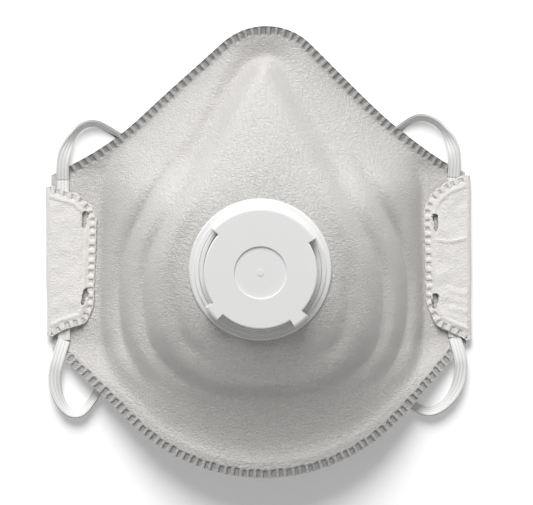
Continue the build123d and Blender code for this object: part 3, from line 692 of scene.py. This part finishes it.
# ---- The webs ---------------------------------------------------------------------------------------
RIM_TANGENT = np.roll(RIM_POINTS, -1, axis=0) - np.roll(RIM_POINTS, 1, axis=0)
RIM_TANGENT /= np.linalg.norm(RIM_TANGENT, axis=1)[:, None]
RIM_NORMAL = np.column_stack([-RIM_TANGENT[:, 1], RIM_TANGENT[:, 0]])
if np.mean(np.sum(RIM_NORMAL * SPOKES, axis=1)) < 0:
    RIM_NORMAL = -RIM_NORMAL
RIM_REACH = np.sum(SPOKES * RIM_NORMAL, axis=1)      # distance from the valve to the rim's tangent
RIM_DEPTHS = [3.2, 2.9, 2.6, 2.3, 2.0, 1.6, 1.2, 0.8, 0.5, 0.25, 0.1, 0.0]   # rows of points at the weld
FINE_ROWS, COARSE_ROWS = 96, 48              # rows of points in the cup, on faces that show or don't


def weld_pattern(along, inward, pitch=TICK_PITCH, width=WELD_W, seed=1):
    """1 in a pressed bar of the weld, 0 beside it, for a place along and inside an edge."""
    wobble = 0.18 * np.sin(along * 0.37 + seed) + 0.12 * np.sin(along * 1.13 + 2 * seed)
    phase = (along + wobble) / pitch
    bar = smooth(0.30, 0.62, 0.5 + 0.5 * np.cos(2 * math.pi * phase))
    reach = width * (0.95 + 0.07 * np.sin(along * 0.9 + seed))
    return bar * smooth(-0.05, 0.25, inward) * (1 - smooth(reach - 0.5, reach, inward))


def web_ring(share, pick):
    """One row of points at a share of the way from the valve to the rim, and its weld coordinates."""
    spoke, tangent = SPOKES[pick], RIM_TANGENT[pick]
    along = (np.arange(len(RIM_POINTS)) * RIM_ROUND / len(RIM_POINTS))[pick]
    where = spoke * share[:, None] + [0, VALVE_Y]
    u = along - (1 - share) * np.sum(spoke * tangent, axis=1)
    return where[:, 0], where[:, 1], u, (1 - share) * RIM_REACH[pick]


def web_rings(inner_count):
    """Rows from the valve's hole to the rim: every second point in the cup, all of them at the weld."""
    half, full = slice(None, None, 2), slice(None)
    cut = np.minimum(1.0, FOLD_X / np.maximum(np.abs(SPOKES[:, 0]), 1e-6))
    hole, first = (r / np.linalg.norm(SPOKES, axis=1) for r in (PORT_R, PLATEAU_R - 1.5))
    last = cut - (RIM_DEPTHS[0] + 0.4) / RIM_REACH
    shares = [hole, (hole + first) / 2]
    shares += [first + (last - first) * k / inner_count for k in range(inner_count + 1)]
    rings = [web_ring(share[half], half) for share in shares]
    return rings, [web_ring(cut - depth / RIM_REACH, full) for depth in RIM_DEPTHS]


def web_surface(rings, cup_drop, flat_level, level, dents):
    """Points of one face of a web. level is 0 on the mask's inner face and 1 on its outer face."""
    x, y, along, inward = (np.concatenate(parts) for parts in zip(*(r for part in rings for r in part)))
    z = web_height(x, y, cup_drop, flat_level, inward)
    off_ears = 1 - smooth(FOLD_X - 6, FOLD_X - 3, np.abs(x))
    pressed = weld_pattern(along, inward) * off_ears
    z = z + pressed * (0.12 - level * (TICK_DEEP + 0.12))
    band = (1 - smooth(WELD_W - 0.2, WELD_W + 0.3, inward)) * off_ears
    if dents:
        p = np.column_stack([x, y, z])
        edge = smooth(0.5, 4.0, inward)
        z = z + edge * (0.22 * soft_noise(p, 13.0, SEED) + 0.10 * soft_noise(p, 4.0, SEED + 1))
        bend = 1.6 * np.column_stack([soft_noise(p, 2.6, SEED + 2 + k) for k in range(3)])
        z = z + edge * dents * soft_noise(p + bend, 1.5, SEED + 5)
    return np.column_stack([x + lean(x, y), y, z]), pressed, band


def ring_faces(rings, offset, flip):
    """Quads between rows, with a row of triangles where the number of points doubles."""
    inner, outer = rings
    n, rows = len(inner[0][0]), len(inner)
    faces = grid_faces(rows, n, offset, closed=True)
    base, rim = offset + (rows - 1) * n, offset + rows * n
    for j in range(n):
        a, b = base + j, base + (j + 1) % n
        c, d, e = rim + 2 * j, rim + 2 * j + 1, rim + (2 * j + 2) % (2 * n)
        faces += [(a, d, c), (a, b, d), (b, e, d)]
    faces += grid_faces(len(outer), 2 * n, rim, closed=True)
    return [f[::-1] for f in faces] if flip else faces


def add_web(name, level_low, level_high, rings_low, rings_high, dents_low, dents_high):
    """One closed web between two levels; each level is (cup drop, flat height, share of thickness)."""
    top, weld_top, band_top = web_surface(rings_high, *level_high, dents_high)
    low, weld_low, band_low = web_surface(rings_low, *level_low, dents_low)
    n = len(RIM_POINTS)
    shift = len(top)
    faces = ring_faces(rings_high, 0, False) + ring_faces(rings_low, shift, True)
    rim_top, rim_low = shift - n, shift + len(low) - n
    for j in range(n):
        k = (j + 1) % n
        faces.append((rim_top + j, rim_top + k, rim_low + k, rim_low + j))
    for j in range(n // 2):
        k = (j + 1) % (n // 2)
        faces.append((j, shift + j, shift + k, k))
    obj = mesh_object(name, np.vstack([top, low]), faces)
    # The weld attribute darkens the bars in the felt's colour: partly the welded fibres' grey, partly
    # painted shade.
    set_attribute(obj, "weld", np.concatenate([weld_top, weld_low]))
    set_attribute(obj, "band", np.concatenate([band_top, band_low]))
    face_outwards(obj)
    return obj


def add_webs():
    """The four webs from the lining out; only the innermost and outermost faces need fine detail."""
    fine, coarse = web_rings(FINE_ROWS), web_rings(COARSE_ROWS)
    cup_drop, flat = CUP_T, 0.0
    names = list(WEBS)
    for k, name in enumerate(names):
        cup_t, flat_t = WEBS[name]
        low = (cup_drop - WEB_GAP * (k > 0), flat + WEB_GAP * (k > 0), k / len(names))
        cup_drop -= cup_t
        flat += flat_t
        high = (cup_drop, flat, (k + 1) / len(names))
        outer, inner = name == names[-1], name == names[0]
        obj = add_web(name + "_web", low, high, fine if inner else coarse, fine if outer else coarse,
                      0.05 * inner, 0.055 * outer)
        dress(obj, SLOTS[name], "root", name)


# ---- The ears ---------------------------------------------------------------------------------------
EAR_PLANS = {                                # free edge and slots of each front layer, for the right side
    "right_ear": {"edge": [(-28.0,), (62.9, -26.7), (55.5, -23.3), (52.6, -16.5), (52.0, 13.0),
                           (54.2, 17.7), (59.0, 21.6), (23.9,)],
                  "slots": [(55.6, 8.8, 0.02, 5.9), (55.3, -15.9, -0.04, 5.5)], "crease": 3.4},
    "left_ear": {"edge": [(-25.8,), (61.3, -23.8), (54.2, -21.7), (52.1, -16.5), (50.9, 10.5),
                          (52.2, 14.4), (56.1, 18.4), (21.2,)],
                 "slots": [(54.8, 10.4, 0.10, 5.9), (54.8, -13.6, 0.24, 5.9)], "crease": None},
}
EDGE_RADII = [0, 4.0, 3.6, 4.0, 4.0, 3.2, 5.0, 0, 0]     # at the corners of the free edge
SLOT_W = 2.0


def ear_edge(plan):
    """The front layer's free edge on the right side, from the fold's low end round to its top."""
    fold = SPAN / 2 - FOLD_R
    corners = [p if len(p) == 2 else (fold, p[0]) for p in plan["edge"]] + [(fold + 30, 0)]
    return rounded(corners, EDGE_RADII, 14)[:-1]


def ear_level(x, y):
    """Height of the middle of the front layer: welded down inside, lifted over the band outside."""
    welded = web_height(x, y, 0.0, FLANGE_T) + 0.42
    lifted = FLANGE_T + SLEEVE_GAP + EAR_T / 2
    return welded + (lifted - welded) * smooth(53.4, 56.8, x)


def nearest_on(line, points):
    """Distance from each point to a polyline, and the length along it of the nearest place."""
    count = 600
    dense, total = evenly(line, count, closed=False)
    along = np.linspace(0, total, count)
    gap = np.linalg.norm(points[:, None, :2] - dense[None, :, :], axis=2)
    nearest = gap.argmin(axis=1)
    return gap[np.arange(len(points)), nearest], along[nearest]


def cut_slot(verts, faces, x, y, tilt, length):
    """Takes out the faces inside a round-ended slot, and draws the rest of the mesh to its outline."""
    half = (length - SLOT_W) / 2
    away = np.array([math.sin(tilt), -math.cos(tilt)])
    off = verts[:, :2] - [x, y]
    run = np.clip(off @ away, -half, half)
    nearest = np.outer(run, away)
    reach = np.linalg.norm(off - nearest, axis=1)
    radius = SLOT_W / 2 * (1 - 0.30 * (run + half) / (2 * half))     # narrower at the far end
    inside = (reach < radius) & (verts[:, 2] > FOLD_R)
    kept = [f for f in faces if not all(inside[v] for v in f)]
    edge = inside & np.isin(np.arange(len(verts)), [v for f in kept for v in f])
    verts = verts.copy()
    out = (off - nearest)[edge] / np.maximum(reach[edge], 1e-6)[:, None]
    verts[edge, :2] = [x, y] + nearest[edge] + out * radius[edge][:, None]
    return verts, kept


def add_ear(name):
    """The web's tab, folded over its elastic and welded down along the free edge on the front."""
    side = 1 if name.startswith("right") else -1
    plan = EAR_PLANS[name]
    cols, rows, fold_rows = 170, 50, 12
    edge = evenly(ear_edge(plan), cols, closed=False)[0]
    fold_x = SPAN / 2 - FOLD_R
    low, top = plan["edge"][0][0], plan["edge"][-1][0]
    ys = np.linspace(low, top, cols)
    radius = FOLD_R - EAR_T / 2
    turns = -math.pi / 2 + math.pi * np.arange(fold_rows) / fold_rows
    fold = [np.column_stack([np.full(cols, fold_x + radius * math.cos(a)), ys,
                             np.full(cols, FOLD_R + radius * math.sin(a))]) for a in turns]
    front = []
    for t in np.linspace(0, 1, rows):
        x = fold_x + (edge[:, 0] - fold_x) * t
        y = ys + (edge[:, 1] - ys) * t
        front.append(np.column_stack([x, y, ear_level(x, y)]))
    verts = np.vstack(fold + front)
    on_front = np.arange(len(verts)) >= fold_rows * cols
    gap, along = nearest_on(edge, verts)
    gap = np.where(on_front, gap, 9.0)
    weld = weld_pattern(along, gap, 2.75, 2.3, seed=3 + side)
    loose = smooth(0.5, 3.4, gap) * on_front
    x, y = verts[:, 0].copy(), verts[:, 1].copy()
    z = 0.42 * soft_noise(verts * [1.0, 0.7, 1.0], 8.5, 11 + side) * loose
    z += 0.20 * soft_noise(verts, 3.4, 15 + side) * loose
    pulls = (side > 0) * smooth(-24, -19, y) * (1 - smooth(-13, -8, y)) * smooth(56, 60, x)
    z += 0.07 * pulls * np.sin(y * 2.1 + x * 0.75 + 1.5 * soft_noise(verts, 6.0, 19)) * loose
    z += 0.30 * hill(gap, 3.1, 0.55) * on_front - 0.30 * weld + 0.10 * (1 - loose) * on_front
    if plan["crease"] is not None:
        line = plan["crease"] + 0.06 * (x - 60) + 0.35 * np.sin(x * 0.6)
        z += loose * 0.30 * hill(y, line, 0.45) * smooth(54, 57, x)
    ends = smooth(0.0, 3.0, np.minimum(top - y, y - low)) * (1 - on_front) + on_front
    verts[:, 2] += z
    verts[:, 0] = (x + 0.22 * soft_noise(verts, 7.0, 23) * (1 - on_front) * ends) * side
    faces = grid_faces(fold_rows + rows, cols, flip=side < 0)
    for px, py, tilt, length in plan["slots"]:
        verts, faces = cut_slot(verts, faces, side * px, py, side * tilt, length)
    obj = mesh_object(name + "_layer", verts, faces)
    # The weld attribute darkens the bars in the felt's colour: partly the welded fibres' grey, partly
    # painted shade.
    set_attribute(obj, "weld", weld)
    set_attribute(obj, "band", np.zeros(len(verts)))
    drop_loose_points(obj)
    thick = obj.modifiers.new("thickness", "SOLIDIFY")
    thick.thickness, thick.offset = EAR_T * 0.8 * MM, 0.0
    apply_modifiers(obj)
    dress(obj, "cover_web", "root", name)
    obj.data.materials[0] = EAR_FELT


# ---- Nose foam --------------------------------------------------------------------------------------
FOAM_T, FOAM_W, FOAM_INSET, FOAM_HALF_SPAN = 4.0, 11.0, 4.0, 30.0


def add_foam():
    """A soft strip with rounded edges, following the inside of the nose."""
    low_y = LENGTH / 2 - NOSE_R - FOAM_HALF_SPAN * math.tan(math.radians(FLANK_DEG))
    keep = (RIM_POINTS[:, 1] > low_y) & (np.abs(RIM_POINTS[:, 0]) < FOAM_HALF_SPAN)
    order = np.argsort(RIM_POINTS[keep][:, 0])
    edge, normal = RIM_POINTS[keep][order], RIM_NORMAL[keep][order]
    count, across = len(edge), 26
    top, low = [], []
    for i in range(across):
        w = i / (across - 1)
        inside = edge - normal * (WELD_W + FOAM_INSET + FOAM_W * w)
        z = web_height(inside[:, 0], inside[:, 1], CUP_T, 0.0) - 0.05
        ends = np.minimum(1, np.minimum(np.arange(count), np.arange(count)[::-1]) * 0.3 / 2.0)
        sides = min(1, min(w, 1 - w) * FOAM_W / 2.0)
        full = np.sqrt(np.clip(1 - (1 - np.minimum(ends, sides)) ** 2, 0, 1))
        p = np.column_stack([inside[:, 0] + lean(inside[:, 0], inside[:, 1]), inside[:, 1], z])
        full = full * (1 - 0.05 * (1 + soft_noise(p, 5.0, 21)))
        top.append(p)
        low.append(p - np.outer(0.25 + (FOAM_T - 0.5) * full, [0, 0, 1]))
    n = across * count
    faces = grid_faces(across, count) + grid_faces(across, count, n, flip=True)
    border = list(range(count)) + [i * count + count - 1 for i in range(1, across)]
    border += [(across - 1) * count + j for j in range(count - 2, -1, -1)]
    border += [i * count for i in range(across - 2, 0, -1)]
    for a, b in zip(border, border[1:] + border[:1]):
        faces.append((a, b, n + b, n + a))
    obj = mesh_object("nose_foam_strip", np.vstack(top + low), faces)
    face_outwards(obj)
    dress(obj, "foam", "root", "nose_foam")


# ---- Valve ------------------------------------------------------------------------------------------
VALVE_FRAME = (Matrix.Translation((0, VALVE_Y, PLATEAU_Z))
               @ Matrix.Rotation(math.radians(VALVE_TILT), 4, "X")
               @ Matrix.Rotation(math.radians(VALVE_CLOCK), 4, "Z"))
FLAP_R, FLAP_T, SEAT_TOP, HINGE_Y = 14.6, 0.45, 2.02, 11.5


def add_diaphragm():
    """One flat silicone disc, with a thin bead at its edge, in place of the diaphragm's clamped root and
    its flap.
    """
    rings, cols = 30, 96
    verts = []
    for face in (1, 0):
        for i in range(rings):
            r = FLAP_R * (i + 1) / rings
            for j in range(cols):
                a = 2 * math.pi * j / cols
                bead = 0.05 * float(hill(r, FLAP_R - 0.6, 0.4)) * face
                z = SEAT_TOP + FLAP_T * face + bead
                verts.append(tuple(VALVE_FRAME @ Vector((r * math.cos(a), r * math.sin(a), z))))
    n = rings * cols
    faces = grid_faces(rings, cols, closed=True) + grid_faces(rings, cols, n, closed=True, flip=True)
    faces += [tuple(range(cols))[::-1], tuple(range(n, n + cols))]
    outer = (rings - 1) * cols
    for j in range(cols):
        k = (j + 1) % cols
        faces.append((outer + j, outer + k, n + outer + k, n + outer + j))
    obj = mesh_object("diaphragm_disc", verts, faces)
    face_outwards(obj)
    dress(obj, "silicone", None, "diaphragm_root", "diaphragm_flap")
    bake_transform(obj)


def dress_valve():
    """The hard parts of the valve keep their CAD meshes."""
    for name in ("valve_base", "valve_cover", "valve_retaining_ring"):
        obj = frame["nodes"][name]
        obj.data.materials.clear()
        obj.data.materials.append(MATERIALS["valve_plastic"])


add_camera()
add_elastic()
add_studio()
add_webs()
for ear_name in EAR_PLANS:
    add_ear(ear_name)
add_foam()
add_diaphragm()
dress_valve()
